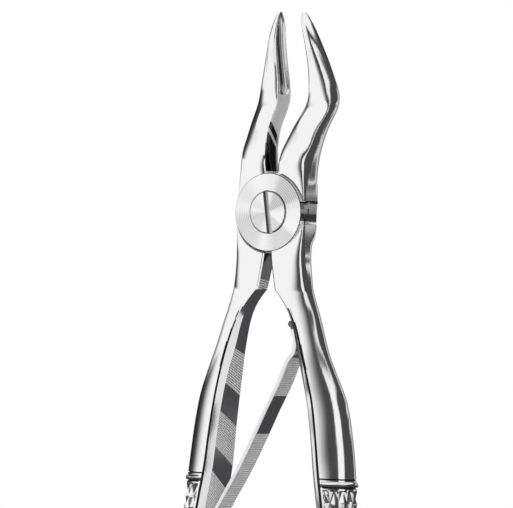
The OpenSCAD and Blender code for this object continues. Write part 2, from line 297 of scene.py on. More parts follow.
cloth, tree, glow = glowing("tent_cloth")
painted = node(tree, "VertexColor", layer_name="boards")
tree.links.new(painted.outputs["Color"], glow.inputs["Color"])
wall.data.materials.append(cloth)
only_reflected(wall)
print("tent wall of", len(wall_faces), "faces")

# %% [markdown]
# A dark card lies on the table inside the tent. Faces that look down, such as the handles' inner
# sides and the lower sides of the chequers, go dark by it. It is cut back in front, so that the
# bevelled lands beside the inner sides stay white.

# %% Table card
CARD_RADIUS = 0.29
CARD_FRONT_RADIUS = 0.085
CUT_FROM, CUT_TO = -80, 48
CARD_LIFT = 0.0005
card_rim = []
for t in range(-180, 180, 3):
    reach = CARD_FRONT_RADIUS if CUT_FROM < t < CUT_TO else CARD_RADIUS
    card_rim.append(reach * direction(t) + (floor_height + CARD_LIFT) * up)
card = new_object("table_card", mesh_of("table_card", card_rim, [tuple(range(len(card_rim)))]))
felt, tree, glow = glowing("dark_felt")
glow.inputs["Color"].default_value = linear("#48484A")
card.data.materials.append(felt)
only_reflected(card)
print("card ready")

# %% [markdown]
# ## The levers' skins
# Each lever is one forging, ground and polished by hand, so its cross-section changes all along it.
# That is a loft: a table of stations gives the section at a few heights, a smooth track runs through
# them, and a skin is drawn over many fine rings. A subdivision surface would round off the hollow's
# rim and the chequers, which have to stay crisp. Distances run outwards from the pivot, in millimetres.

# %% Stations of the right jaw
JOINT_T = 5.5
REAR_LAP_T = 3.3
JOINT_REAR = 0
SHOULDER_HALF = 7.95
NECK_START = 1
JAW_LEN = 40.2
JOINT_FRONT = JOINT_REAR - JOINT_T
LAP_SPLIT = JOINT_REAR - REAR_LAP_T
JOINT_MID = JOINT_REAR - JOINT_T / 2
JOINT_HALF = JOINT_T / 2

# distance, middle x, half width, middle y, half depth, and the squareness of four corners:
# outer front, outer rear, inner front, inner rear
jaw_in_joint = [SHOULDER_HALF / 2 + 0.3, SHOULDER_HALF / 2 - 0.3, JOINT_MID, JOINT_HALF, 14, 14, 6, 3]
JAW_STATIONS = [
    [NECK_START, *jaw_in_joint],
    [2.4, *jaw_in_joint],
    [5.2, 4.25, 3.6, -2.55, 3.1, 8, 4, 5, 2.4],
    [8.2, 4.5, 3.5, -2.35, 3.6, 3.6, 2.5, 4.5, 2],
    [0.264 * JAW_LEN, 4.7, 3.45, -2.25, 3.9, 2.8, 2.4, 4.5, 1.7],
    [0.413 * JAW_LEN, 5.5, 2.95, 0.05, 3.6, 1.9, 2.3, 4.5, 2],
    [0.577 * JAW_LEN, 6.15, 2.85, 4, 3, 2.1, 2.1, 4.5, 3.6],
    [0.711 * JAW_LEN, 5.6, 2.15, 3.1, 2.4, 2, 2, 6, 6],
    [0.861 * JAW_LEN, 4.45, 1.2, 1.45, 2.15, 2, 2, 6, 6],
    [JAW_LEN - 1.6, 3.3, 0.7, 0.5, 1.5, 2, 2, 5, 5],
    [JAW_LEN - 0.6, 3.05, 0.45, 0.3, 1, 2, 2, 3, 3],
    [JAW_LEN, 2.85, 0.12, 0.2, 0.35, 2, 2, 3, 3],
]
print(len(JAW_STATIONS), "stations over", JAW_LEN, "mm of jaw")

# %% Stations of the right handle
HANDLE_LEN = 88

# distance, inner x, outer x, middle y, half depth, reach of the inner flat to the front and to the
# rear, width of the land in front of it and of the one behind it, and the squareness of the outer
# front and the outer rear corner
handle_in_joint = [0.6, SHOULDER_HALF, JOINT_MID, JOINT_HALF, JOINT_HALF - 0.3, 2, 0.4, 1.2, 14, 14]
HANDLE_STATIONS = [
    [NECK_START, *handle_in_joint],
    [2.4, *handle_in_joint],
    [5.2, 0.6, 7.95, -2.8, 3.1, 2.8, 1.4, 0.4, 1.6, 8, 2.6],
    [8, 0.7, 7.9, -2.85, 3.3, 2.95, 0.9, 0.4, 2, 6, 2.2],
    [13.4, 1.55, 8.45, -2.8, 3.3, 2.95, 0.4, 0.4, 2.4, 4, 2],
    [15.4, 1.95, 8.9, -2.85, 3.25, 2.9, 0.3, 0.4, 2.4, 3.2, 1.9],
    [16.2, 2.65, 9.15, -2.87, 3.22, 2.85, 0.3, 0.45, 2.4, 3, 1.9],
    [19, 4.7, 10.15, -2.9, 3.2, 2.6, 0.5, 0.6, 2.2, 2.3, 1.9],
    [22, 6, 11.2, -2.9, 3.2, 2.4, 0.9, 0.9, 2, 2.2, 1.9],
    [27.4, 7.4, 12.95, -2.9, 3.35, 2.35, 1.6, 1.3, 1.8, 2.1, 1.9],
    [32, 8.7, 14.95, -2.6, 3.5, 2.8, 2.6, 1.3, 1.5, 2, 2],
    [37.4, 10, 17.1, -2.1, 3.7, 3.1, 3.2, 1.3, 1.3, 1.9, 2.3],
    [45.4, 11.2, 18.6, -1.7, 4.05, 3.4, 3.6, 1.3, 1.3, 1.9, 2.2],
    [51.4, 11.9, 19.3, -1.5, 4.2, 3.5, 3.8, 1.3, 1.3, 2, 2.1],
    [58.4, 13.1, 19.9, -1.5, 4.3, 3.6, 3.9, 1.3, 1.3, 2.1, 2.1],
    [65, 14.1, 20.6, -1.5, 4.3, 3.6, 3.9, 1.3, 1.3, 2.1, 2.1],
    [HANDLE_LEN - 11, 14.3, 20.7, -1.5, 4.2, 3.5, 3.8, 1.3, 1.3, 2.1, 2.1],
    [HANDLE_LEN, 14.3, 20.6, -1.5, 4, 3.3, 3.6, 1.3, 1.3, 2.1, 2.1],
]
print(len(HANDLE_STATIONS), "stations over", HANDLE_LEN, "mm of handle")


# %% Tracks and rings
def track(stations, column, at):
    """A column's value at a distance, on a smooth curve that never overshoots its stations."""
    places = [s[0] for s in stations]
    values = [s[column] for s in stations]
    slopes = [(b - a) / (q - p) for a, b, p, q in zip(values, values[1:], places, places[1:])]
    inner = [0 if a * b <= 0 else 2 * a * b / (a + b) for a, b in zip(slopes, slopes[1:])]
    tangents = [slopes[0], *inner, slopes[-1]]
    i = max(0, min(len(places) - 2, sum(p <= at for p in places) - 1))
    run = places[i + 1] - places[i]
    t = (at - places[i]) / run
    bend = run * tangents[i] * t * (1 - t) ** 2 + run * tangents[i + 1] * t * t * (t - 1)
    return values[i] * (1 + 2 * t) * (1 - t) ** 2 + values[i + 1] * t * t * (3 - 2 * t) + bend


EASE_REACH = 1.5


def eased(stations, column, at, corner=None):
    """The track's mean over up to the reach each way, less near the ends or a corner, so that
    reflections run over the stations without a kink."""
    reach = min(EASE_REACH, at - stations[0][0], stations[-1][0] - at)
    if corner is not None:
        reach = min(reach, abs(at - corner))
    places = [at + reach * k / 3 for k in range(-3, 4)]
    return sum(track(stations, column, p) for p in places) / len(places)


def mix(a, b, t):
    return a + (b - a) * t


def ramp(v, a, b):
    return min(1, max(0, (v - a) / (b - a)))


def smooth_ramp(v, a, b):
    t = ramp(v, a, b)
    return t * t * (3 - 2 * t)


def squared(v, n):
    """Cosine and sine drawn out towards a square, for sections between an oval and a box."""
    return math.copysign(abs(v) ** (2 / n), v)


def loft(name, rings, falling=None):
    """A closed skin over rings that run anticlockwise, seen from the end that they rise to.
    falling(i, j) says which cells are split along their falling diagonal, and None keeps quads.
    A UV map holds the way round and the way along in millimetres, for finishes that follow them."""
    count = len(rings[0])
    table = np.array(rings, float)
    around = np.linalg.norm(np.roll(table, -1, axis=1) - table, axis=2).cumsum(axis=1)
    around = np.hstack([np.zeros((len(rings), 1)), around])
    along = np.linalg.norm(np.diff(table.mean(axis=1), axis=0), axis=1).cumsum()
    along = np.concatenate([[0], along])
    faces, corners = [], []

    def add(*cells):
        faces.append(tuple(i * count + j % count for i, j in cells))
        corners.extend((around[i][j], along[i]) for i, j in cells)

    add(*[(0, j) for j in reversed(range(count))])
    for i in range(len(rings) - 1):
        for j in range(count):
            a, b, c, d = (i, j), (i, j + 1), (i + 1, j + 1), (i + 1, j)
            split = falling and falling(i, j)
            if split is None:
                add(a, b, c, d)
            elif split:
                add(a, b, d)
                add(b, c, d)
            else:
                add(a, b, c)
                add(a, c, d)
    add(*[(len(rings) - 1, j) for j in range(count)])
    mesh = mesh_of(name, (table * MM).reshape(-1, 3), faces)
    mesh.uv_layers.new(name="finish").uv.foreach_set("vector", np.array(corners, np.float32).ravel())
    return mesh


print("track through the beak's knee:", round(track(JAW_STATIONS, 1, 0.577 * JAW_LEN), 2), "mm")

# %% [markdown]
# ## Jaws with their beaks
# The beak's inner face holds a shallow hollow with five fine flutes, so that a root doesn't slip.
# The hollow is pressed into the rings' inner points: its depth fades out at a rounded rim, and a
# cosine across it makes the flutes.

# %% Jaw
HOLLOW_HALF = 1.6
HOLLOW_LEN = 15.6  # the picture's; the CAD model's hollow ends 1.7 mm nearer the tip
HOLLOW_DEPTH = 0.4
HOLLOW_EDGE = 0.28
FLUTES = 5
FLUTE_DEPTH = 0.2
HOLLOW_RIM = 0.5
HOLLOW_COLUMNS = 60
JAW_COLUMNS = 84
hollow_end = JAW_LEN - 0.9
hollow_start = hollow_end - HOLLOW_LEN


def hollow_half(half_depth):
    """Half the hollow's width: it narrows with the beak, which keeps a rim on both sides."""
    return min(HOLLOW_HALF, max(0.6 * half_depth, half_depth - HOLLOW_RIM))


def hollow_at(v, w, d):
    """How deep the hollow is at v across a beak, at distance d from the pivot."""
    near = min(hollow_end - d, d - hollow_start)
    if near <= 0:
        return 0
    half = w * math.sqrt(1 - (1 - near / w) ** 2) if near < w else w
    shore = smooth_ramp(half - abs(v), 0, HOLLOW_EDGE)
    flute = 0.5 + 0.5 * math.cos(2 * math.pi * FLUTES * (v / (2 * w)))
    return shore * (HOLLOW_DEPTH * (1 - 0.5 * (v / w) ** 2) + FLUTE_DEPTH * flute)


def jaw_ring(d):
    """The right jaw's section: over the inner face from the rear to the front, then round outside."""
    x, hx, y, hy, n_of, n_or, n_if, n_ir = [eased(JAW_STATIONS, c, d) for c in range(1, 9)]
    w = hollow_half(hy)
    ring = []
    for k in range(HOLLOW_COLUMNS + 1):
        v = w * (1 - 2 * k / HOLLOW_COLUMNS)
        n = n_ir if v > 0 else n_if
        bulge = hx * (1 - (abs(v) / hy) ** n) ** (1 / n)
        ring.append((x - bulge + hollow_at(v, w, d), y + v, d))
    first = math.asin((w / hy) ** (n_if / 2))
    last = 2 * math.pi - math.asin((w / hy) ** (n_ir / 2))
    for j in range(1, JAW_COLUMNS):
        a = mix(first, last, j / JAW_COLUMNS)
        side = (n_if, n_of) if math.sin(a) > 0 else (n_ir, n_or)
        n = side[0] if math.cos(a) > 0 else side[1]
        ring.append((x - hx * squared(math.cos(a), n), y - hy * squared(math.sin(a), n), d))
    return ring


neck_rows = list(np.arange(NECK_START, hollow_start - 0.1, 0.3))
hollow_rows = list(np.linspace(hollow_start, hollow_end, 126))
tip_rows = [JAW_LEN - 0.9 * (1 - math.sin(math.radians(a))) for a in range(8, 91, 8)]
jaw_mesh = loft("jaw", [jaw_ring(d) for d in neck_rows + hollow_rows + tip_rows])
print("jaw of", len(jaw_mesh.polygons), "faces")

# %% [markdown]
# ## Handles with their grips
# A handle is flat on its inside, has a bevelled land beside that flat, and is rounded outside. The
# grip is chequered: two sets of slanting grooves leave pointed pyramids on a diamond plan. Their
# height falls by the plain sum of the two lattice distances from a point, so every crease lies on a
# mesh edge. A collar with a fine line above it closes the chequering off. A scribed line parts the
# front land from the rounded side: two columns of points, pressed in.

# %% Handle
CORNER_AT = 15.4
ROUND_END = 3
ARC_CELLS = 16
CELL_PARTS = 6
LAND_PARTS = 5
FLAT_PARTS = 10
LAND_BOW = 0.15
COLLAR_AT = 52.45
COLLAR_H = 0.35
LINE_DEPTH = 0.3
CHEQUER_HALF = 2.3
CHEQUER_DEPTH = 0.5
CREASE_DEPTH = 0.22
CREASE_FROM, CREASE_FULL = 17.6, 21
CREASE_COLUMNS = (1, 2)
chequer_start = COLLAR_AT + 2 + 0.55
round_start = HANDLE_LEN - ROUND_END
chequer_rows = int((round_start - 0.4 - chequer_start) / CHEQUER_HALF)
chequer_end = chequer_start + chequer_rows * CHEQUER_HALF
COLLAR_PROFILE = [
    [-0.1, 0], [0, 0], [0.15, -LINE_DEPTH], [0.3, 0], [0.6, 0], [0.85, 0.7 * COLLAR_H],
    [1.2, COLLAR_H], [1.55, 0.8 * COLLAR_H], [1.8, -LINE_DEPTH], [2, 0], [2.1, 0],
]


def collar_at(d):
    """How far the collar and its fine line stand out or lie deep."""
    off = d - COLLAR_AT
    return track(COLLAR_PROFILE, 1, off) if 0 < off < 2 else 0


def pyramid_at(s, t):
    """Depth below the points of the chequering, at lattice place s across and t along."""
    i, j = math.floor(s), math.floor(t)
    corners = [(i + a, j + b) for a in (0, 1) for b in (0, 1) if (i + j + a + b) % 2 == 0]
    near = min(abs(s - a) + abs(t - b) for a, b in corners)
    return -CHEQUER_DEPTH * min(1, near * CELL_PARTS / (CELL_PARTS - 1))


def relief(d, s):
    """How far the outer skin stands out at distance d, s cells round the arc."""
    if not 1 <= s <= ARC_CELLS - 1:
        return 0
    if chequer_start <= d <= chequer_end:
        return pyramid_at(s, (d - chequer_start) / CHEQUER_HALF)
    return collar_at(d)


def handle_ring(d):
    """The right handle's section: the inner flat, the front land, the outside, the rear land."""
    x0, x1, y, hy, front, rear, land_f, land_r, n_of, n_or = [
        eased(HANDLE_STATIONS, c, d, CORNER_AT) for c in range(1, 11)
    ]
    shrink = math.sqrt(1 - max(0, (d - round_start) / ROUND_END) ** 2)

    def land_point(t, side, flat, land):
        run = mix(t, 1 - math.cos(t * math.pi / 2), LAND_BOW)
        rise = mix(t, math.sin(t * math.pi / 2), LAND_BOW)
        return (x0 + land * run, side * (flat + (hy - flat) * rise))

    ring = [(x0, mix(rear, -front, k / FLAT_PARTS)) for k in range(FLAT_PARTS + 1)]
    ring += [land_point(t / LAND_PARTS, -1, front, land_f) for t in range(1, LAND_PARTS)]
    for j in range(ARC_CELLS * CELL_PARTS + 1):
        s = j / CELL_PARTS
        a = math.pi * s / ARC_CELLS - math.pi / 2
        n, land = (n_of, land_f) if a < 0 else (n_or, land_r)
        out = relief(d, s)
        if j in CREASE_COLUMNS:
            out -= CREASE_DEPTH * smooth_ramp(d, CREASE_FROM, CREASE_FULL)
        across = x0 + land + (x1 - x0 - land) * squared(max(0, math.cos(a)), n)
        ring.append((across + out * math.cos(a), hy * squared(math.sin(a), n) + out * math.sin(a)))
    ring += [land_point(t / LAND_PARTS, 1, rear, land_r) for t in range(LAND_PARTS - 1, 0, -1)]
    middle = (x0 + x1) / 2
    return [(middle + shrink * (p - middle), y + shrink * q, -d) for p, q in ring]


shank_rows = list(np.linspace(NECK_START, CORNER_AT, 45))
shank_rows += list(np.linspace(CORNER_AT + 0.2, COLLAR_AT - 0.1, 110))
collar_rows = list(np.linspace(COLLAR_AT, COLLAR_AT + 2, 41)) + [COLLAR_AT + 2.3]
grip_rows = list(np.linspace(chequer_start, chequer_end, chequer_rows * CELL_PARTS + 1))
end_rows = [round_start + ROUND_END * math.sin(math.radians(a)) for a in range(0, 88, 6)]
handle_rows = shank_rows + collar_rows + grip_rows + end_rows
first_grip = len(shank_rows) + len(collar_rows)
arc_start = FLAT_PARTS + LAND_PARTS


def falling_in_handle(i, j):
    """Splits the chequers' cells along their grooves. Rings run upwards here, rows downwards."""
    row = len(handle_rows) - 2 - i - first_grip
    column = j - arc_start
    if not (0 <= row < len(grip_rows) - 1 and 0 <= column < ARC_CELLS * CELL_PARTS):
        return None
    return (row // CELL_PARTS + column // CELL_PARTS) % 2 == 1


handle_mesh = loft("handle", [handle_ring(d) for d in reversed(handle_rows)], falling_in_handle)
print("handle of", len(handle_mesh.polygons), "faces,", chequer_rows, "half rows of chequers")

# %% [markdown]
# ## The lapped joint
# Each lever keeps one layer of the joint's thickness and is cut back round the other's lap. Booleans
# do this best, as the real laps are milled: a round cutter clears the lever, and the lap goes in as
# a plate. The plates are lofts too, along Y, so that their edges carry a fine break.

# %% Booleans and laps
LAP_R = 7.8
WAIST_HALF = 7.6
SIDE_GAP = 0.45
RUN_GAP = 0.05
BOSS_H = 0.8
EDGE_BREAK = 0.12
SPLIT_BREAK = 0.18
ROUND = 192
boss_y = JOINT_FRONT - BOSS_H
boss_root = JOINT_FRONT + 0.5
front_lap_back = LAP_SPLIT - RUN_GAP
axis_turns = [2 * math.pi * i / ROUND for i in range(ROUND)]


def along_y(name, profile):
    """A skin round the pivot's axis through places of radius and y, from the rear to the front. A
    third number is the half width that the ring is cut back to."""
    rings = []
    for radius, y, *half in profile:
        limit = half[0] if half else radius
        across = [max(-limit, min(limit, radius * math.cos(t))) for t in axis_turns]
        rings.append([(x, y, radius * math.sin(t)) for x, t in zip(across, axis_turns)])
    return loft(name, rings)


def combined(body, tool, operation):
    """Applies one boolean to a mesh and returns the new mesh."""
    a, b = new_object("body", body), new_object("tool", tool)
    cut = a.modifiers.new("cut", "BOOLEAN")
    cut.object, cut.operation, cut.solver = b, operation, "MANIFOLD"
    shaped = bpy.data.meshes.new_from_object(a.evaluated_get(bpy.context.evaluated_depsgraph_get()))
    for o in (a, b):
        bpy.data.objects.remove(o)
    return shaped


def joined(name, *parts):
    """One mesh from several, each given with whether it is mirrored to the left."""
    build = bmesh.new()
    for mesh, mirrored in parts:
        side = bmesh.new()
        side.from_mesh(mesh)
        if mirrored:
            bmesh.ops.scale(side, vec=(-1, 1, 1), verts=side.verts)
            bmesh.ops.reverse_faces(side, faces=side.faces)
        copy = bpy.data.meshes.new("side")
        side.to_mesh(copy)
        side.free()
        build.from_mesh(copy)
    whole = bpy.data.meshes.new(name)
    build.to_mesh(whole)
    build.free()
    return whole


def report(name, mesh):
    """Prints a mesh's faces, its open edges, of which there must be none, and its volume."""
    test = bmesh.new()
    test.from_mesh(mesh)
    loose = sum(not e.is_manifold for e in test.edges)
    volume = round(test.calc_volume() / MM**3)
    print(name, len(mesh.polygons), "faces, open edges", loose, "volume", volume, "mm3")
    test.free()


# The boss's root comes twice: behind it the plate is cut back to the waist, in front it is round.
front_plate = along_y(
    "front_plate",
    [
        (LAP_R - SPLIT_BREAK, front_lap_back, WAIST_HALF - SPLIT_BREAK),
        (LAP_R, front_lap_back - SPLIT_BREAK, WAIST_HALF), (LAP_R, boss_root, WAIST_HALF),
        (LAP_R, boss_root), (LAP_R, boss_y + EDGE_BREAK), (LAP_R - EDGE_BREAK, boss_y),
    ],
)
rear_plate = along_y(
    "rear_plate",
    [
        (LAP_R - EDGE_BREAK, JOINT_REAR, WAIST_HALF - EDGE_BREAK),
        (LAP_R, JOINT_REAR - EDGE_BREAK, WAIST_HALF), (LAP_R, LAP_SPLIT + SPLIT_BREAK, WAIST_HALF),
        (LAP_R - SPLIT_BREAK, LAP_SPLIT, WAIST_HALF - SPLIT_BREAK),
    ],
)
report("front plate", front_plate)
report("rear plate", rear_plate)

# %% [markdown]
# ## Levers
# A lever is one jaw, the handle across from it and its lap. The cutter clears the other lever's lap,
# and a stepped tool sinks the screw's well and bore.

# %% Cut the levers
HEAD_SUNK = 1.5
HEAD_R = 4.2
SHANK_R = 2.6
THREAD_R = 2.1
head_seat = boss_y + HEAD_SUNK
well_r = HEAD_R + RUN_GAP
bore_r = SHANK_R + RUN_GAP
cutter_r = LAP_R + SIDE_GAP
rear_cutter = along_y("rear_cutter", [(cutter_r, JOINT_T), (cutter_r, front_lap_back)])
front_cutter = along_y("front_cutter", [(cutter_r, LAP_SPLIT), (cutter_r, 2 * boss_y)])
well_tool = along_y(
    "well_tool",
    [
        (bore_r, 1), (bore_r, head_seat + RUN_GAP), (well_r, head_seat + RUN_GAP),
        (well_r, boss_y + EDGE_BREAK), (well_r + EDGE_BREAK, boss_y), (well_r + EDGE_BREAK, boss_y - 1),
    ],
)
bore_tool = along_y("bore_tool", [(THREAD_R + 0.02, 1), (THREAD_R + 0.02, boss_y)])


def lever(name, left_jaw, cutter, plate, *drills):
    """One forging, with the right or the left jaw and the handle of the other side."""
    body = joined(name, (jaw_mesh, left_jaw), (handle_mesh, not left_jaw))
    body = combined(body, cutter, "DIFFERENCE")
    body = combined(body, plate, "UNION")
    for drill in drills:
        body = combined(body, drill, "DIFFERENCE")
    body.name = name
    report(name, body)
    return body


front_mesh = lever("front_lever", True, rear_cutter, front_plate, well_tool)
rear_mesh = lever("rear_lever", False, front_cutter, rear_plate, bore_tool)

# %% [markdown]
# ## Steels
# The levers are forged stainless steel, polished like a mirror. Metals keep their default IOR. The
# polish is nearly white, and its roughness low. Hand polishing leaves fine lines along each lever,
# which break up the edges of reflections, so a stretched noise tilts the surface slightly. The
# picture draws a dark line wherever a bright surface turns away from the eye, so the colour falls
# off there, by the layer weight. Inside the joint the steel is only milled, with coarse arcs.

# %% Materials
def steel(name, colour, roughness):
    """A metal with its own node tree; returns the material, the tree and the shader."""
    made = bpy.data.materials.new(name)
    made.use_nodes = True
    shader = made.node_tree.nodes["Principled BSDF"]
    shader.inputs["Base Color"].default_value = linear(colour)
    shader.inputs["Metallic"].default_value = 1.0
    shader.inputs["Roughness"].default_value = roughness
    return made, made.node_tree, shader


def object_axes(tree):
    """The piece's own X, Y and Z as sockets."""
    place = node(tree, "TexCoord")
    return node(tree, "SeparateXYZ", {0: place.outputs["Object"]}).outputs


def bumped(tree, shader, height, depth):
    """Tilts the surface by a height; depth is its size in millimetres."""
    bump = node(tree, "Bump", {"Height": height}, Strength=1.0, Distance=depth * MM)
    tree.links.new(bump.outputs[0], shader.inputs["Normal"])


def tinted(tree, shader, share, near, far):
    """Mixes the base colour from two by a share; returns the mixing node."""
    tint = node(tree, "MixRGB", {"Fac": share}, Color1=linear(near), Color2=linear(far))
    tree.links.new(tint.outputs[0], shader.inputs["Base Color"])
    return tint


def ramp_over(tree, value, stops, interpolation="LINEAR"):
    """A colour ramp over a value between 0 and 1, through (place, colour) pairs."""
    made = node(tree, "ValToRGB", {0: value})
    made.color_ramp.interpolation = interpolation
    elements = made.color_ramp.elements
    elements.remove(elements[1])
    elements[0].position, elements[0].color = stops[0]
    for at, colour in stops[1:]:
        elements.new(at).color = colour
    return made.outputs[0]


def grey(level):
    return (level, level, level, 1)


def roughened(tree, shader, share, low, high):
    """Roughness between two values by a share."""
    span = node(tree, "MapRange", {"Value": share}, To_Min=low, To_Max=high)
    tree.links.new(span.outputs[0], shader.inputs["Roughness"])


def polish_lines(tree, shader, line, stretch, depth, rough):
    """Fine lines along a piece: line is their width and depth their height, in millimetres."""
    place = node(tree, "UVMap", uv_map="finish")
    fit = node(tree, "VectorMath", {0: place.outputs[0]}, operation="MULTIPLY")
    fit.inputs[1].default_value = (1 / line, 1 / (line * stretch), 1)
    lines = node(tree, "TexNoise", {"Vector": fit.outputs[0]}, Scale=1.0, Detail=3.0)
    bumped(tree, shader, lines.outputs[0], depth)
    roughened(tree, shader, lines.outputs[0], *rough)


POLISH_LINE = 0.22
POLISH_STRETCH = 70
MILL_PITCH = 1.57  # millimetres; a real cutter's arcs are finer, drawn coarser to be seen
BRIGHT = "#F0F0F1"
polished, tree, shader = steel("mirror_polished_steel", "#F3F3F4", 0.1)
polish_lines(tree, shader, POLISH_LINE, POLISH_STRETCH, 0.006, (0.06, 0.16))
turned_away = node(tree, "LayerWeight", Blend=0.5)
outline = node(tree, "MapRange", {"Value": turned_away.outputs["Facing"]}, From_Min=0.48, From_Max=0.7)
tinted(tree, shader, outline.outputs[0], "#F3F3F4", "#3C3C3E")

milled, tree, shader = steel("milled_steel", BRIGHT, 0.45)
shader.inputs["Metallic"].default_value = 0.5
place = node(tree, "TexCoord")
arcs = node(
    tree, "TexWave", {"Vector": place.outputs["Object"]}, wave_type="RINGS", rings_direction="Y",
    Scale=2 * math.pi / (20 * MILL_PITCH * MM), Distortion=0.6,
)
bumped(tree, shader, arcs.outputs["Fac"], 0.01)
print("wave scale", round(arcs.inputs["Scale"].default_value))

# %% [markdown]
# The boss and the screw's head were faced in a lathe. Turned rings spread reflections outwards from
# the centre, so a faced disc shows pale and grey sectors like a fan, in pairs across the centre. This
# room is too even to bring them out, so the fan is drawn in the colour: a ramp over the angle round
# the pivot, broken up by the rings. The rings are drawn coarser than a lathe leaves them.

# %% Turned steel
RING_PITCH = 0.42
FAN = [
    (0, 0.05), (14, 0.25), (28, 0.8), (62, 0.75), (82, 0.15), (110, 0), (150, 0.3), (172, 0.1),
    (196, 0.55), (238, 0.45), (262, 0.05), (288, 0.45), (318, 0.5), (330, 0), (360, 0.05),
]
turned, tree, shader = steel("lathe_turned_steel", "#F4F4F4", 0.24)
x, y, z = object_axes(tree)
angle = maths(tree, "ARCTAN2", z, x)
share = maths(tree, "FRACT", maths(tree, "MULTIPLY_ADD", angle, 0.5 / math.pi, 1.0))
fan = ramp_over(tree, share, [(degrees / 360, grey(level)) for degrees, level in FAN], "EASE")
across = node(tree, "CombineXYZ", {0: x, 1: z})
radius = node(tree, "VectorMath", {0: across.outputs[0]}, operation="LENGTH").outputs["Value"]
rings = maths(tree, "SINE", maths(tree, "MULTIPLY", radius, 2 * math.pi / (RING_PITCH * MM)))
shade = maths(tree, "MULTIPLY", fan, maths(tree, "MULTIPLY_ADD", rings, 0.25, 0.75))
tinted(tree, shader, shade, "#F6F6F6", "#9C9C9E")
bumped(tree, shader, rings, 0.0007)
print("fan of", len(FAN), "stops")

# %% [markdown]
# The spring is only brushed, along its length. It is greyer and rougher than the levers' polish. The
# screw's slot and the collar's flank lie deep, and get a darker, duller grey as painted shade there.
# The spring's roll takes the same grey.

# %% Spring steel
brushed, tree, shader = steel("brushed_spring_steel", "#ECECEE", 0.2)
polish_lines(tree, shader, 0.25, 40, 0.01, (0.22, 0.38))
dark, tree, shader = steel("slot_painted_shade_steel", "#6A6A6C", 0.4)
polish_lines(tree, shader, 0.2, 12, 0.004, (0.32, 0.5))
print("steels:", [m.name for m in (polished, milled, turned, brushed, dark)])

# %% [markdown]
# The inner flats weren't polished right through. Slanting patches keep the marks of the grinding
# wheel, fine parallel lines at a slant, and stay light, while the polished patches between them
# mirror the dark card. In the throat round the joint and on the jaws' inner flats, the polished steel
# between the patches is painted dark grey, as painted shade where the two levers' inner faces stand
# close. One coordinate does both patches and lines: the distance from the pivot, minus a share of
# the depth behind the front edge that grows down the handle. A colour ramp with hard steps cuts the
# patches out of it, and a sine draws the lines.

# %% Ground and polished flats
LINE_PITCH = 0.45  # millimetres; the real lines are about 0.3 apart, drawn coarser to be seen
LINE_DEEP = 0.06
RAMP_LENGTH = 90
GROUND_ROUGH = (0.1, 0.42)


def ground_flat(name, patches, up_or_down, slant=0, growth=0, front_y=0, between=BRIGHT, scatter=0.2):
    """Steel with ground patches; each patch runs between two distances at the front edge, upwards
    for 1 and downwards for -1. Scatter is the share of light that a ground patch throws back in all
    directions."""
    made, tree, shader = steel(name, between, 0.1)
    x, y, z = object_axes(tree)
    along = maths(tree, "MULTIPLY", z, up_or_down / MM)
    depth = maths(tree, "SUBTRACT", maths(tree, "MULTIPLY", y, 1 / MM), front_y)
    lean = maths(tree, "MULTIPLY_ADD", along, growth, slant)
    shifted = maths(tree, "SUBTRACT", along, maths(tree, "MULTIPLY", depth, lean))
    steps = [(0, grey(0))]
    for start, end in patches:
        steps += [(start / RAMP_LENGTH, grey(1)), (end / RAMP_LENGTH, grey(0))]
    mask = ramp_over(tree, maths(tree, "DIVIDE", shifted, RAMP_LENGTH), steps, "CONSTANT")
    pitch = LINE_PITCH * math.hypot(1, slant)
    waves = maths(tree, "SINE", maths(tree, "MULTIPLY", shifted, 2 * math.pi / pitch))
    bumped(tree, shader, maths(tree, "MULTIPLY", waves, mask), LINE_DEEP)
    roughened(tree, shader, mask, *GROUND_ROUGH)
    metal = maths(tree, "MULTIPLY_ADD", mask, -scatter, 1.0)
    tree.links.new(metal, shader.inputs["Metallic"])
    tinted(tree, shader, mask, between, BRIGHT)
    return made


HANDLE_PATCHES = [(27.2, 34.25), (40, 46.8), (51.8, 90)]
THROAT_PATCHES = [(13.1, 15.5)]
JAW_PATCHES = [(18.65, 20.55), (23.7, 90)]
SPRING_PATCHES = [(28.6, 36.4), (44.2, 90)]
# A dark grey for painted shade: between the patches where the levers' inner faces stand close, and on the
# laps' flank.
PAINTED_SHADE_GREY = "#505052"
HANDLE_SLANT = {"slant": 0.0165, "growth": 0.0105, "front_y": -5.1}
handle_flat = ground_flat("ground_handle_flat", HANDLE_PATCHES, -1, **HANDLE_SLANT)
throat_flat = ground_flat(
    "ground_throat_flat_with_painted_shade", THROAT_PATCHES, -1, **HANDLE_SLANT, between=PAINTED_SHADE_GREY, scatter=0.1
)
jaw_flat = ground_flat("ground_jaw_flat_with_painted_shade", JAW_PATCHES, 1, slant=-2, front_y=-4.5, between=PAINTED_SHADE_GREY)
spring_flat = ground_flat("ground_spring_flat", SPRING_PATCHES, -1, between="#E8E8EA", scatter=0.55)
# A near-black steel for painted shade lines: the crease beside the front land, the fine line above the
# collar, the split between the laps and the boss's edge break.
scribed, tree, shader = steel("painted_shade_line", "#3A3A3C", 0.5)
polish_lines(tree, shader, 0.2, 12, 0.004, (0.4, 0.6))
print("patches:", HANDLE_PATCHES, THROAT_PATCHES, JAW_PATCHES, SPRING_PATCHES)

# %% [markdown]
# The laps' flank is narrow and flat. Its colour is painted shade: one dark band below its middle,
# a lighter grey above it, and a dark line at its upper end for the shadow under the shoulder. A ramp
# along Z draws them, with a soft upper edge.

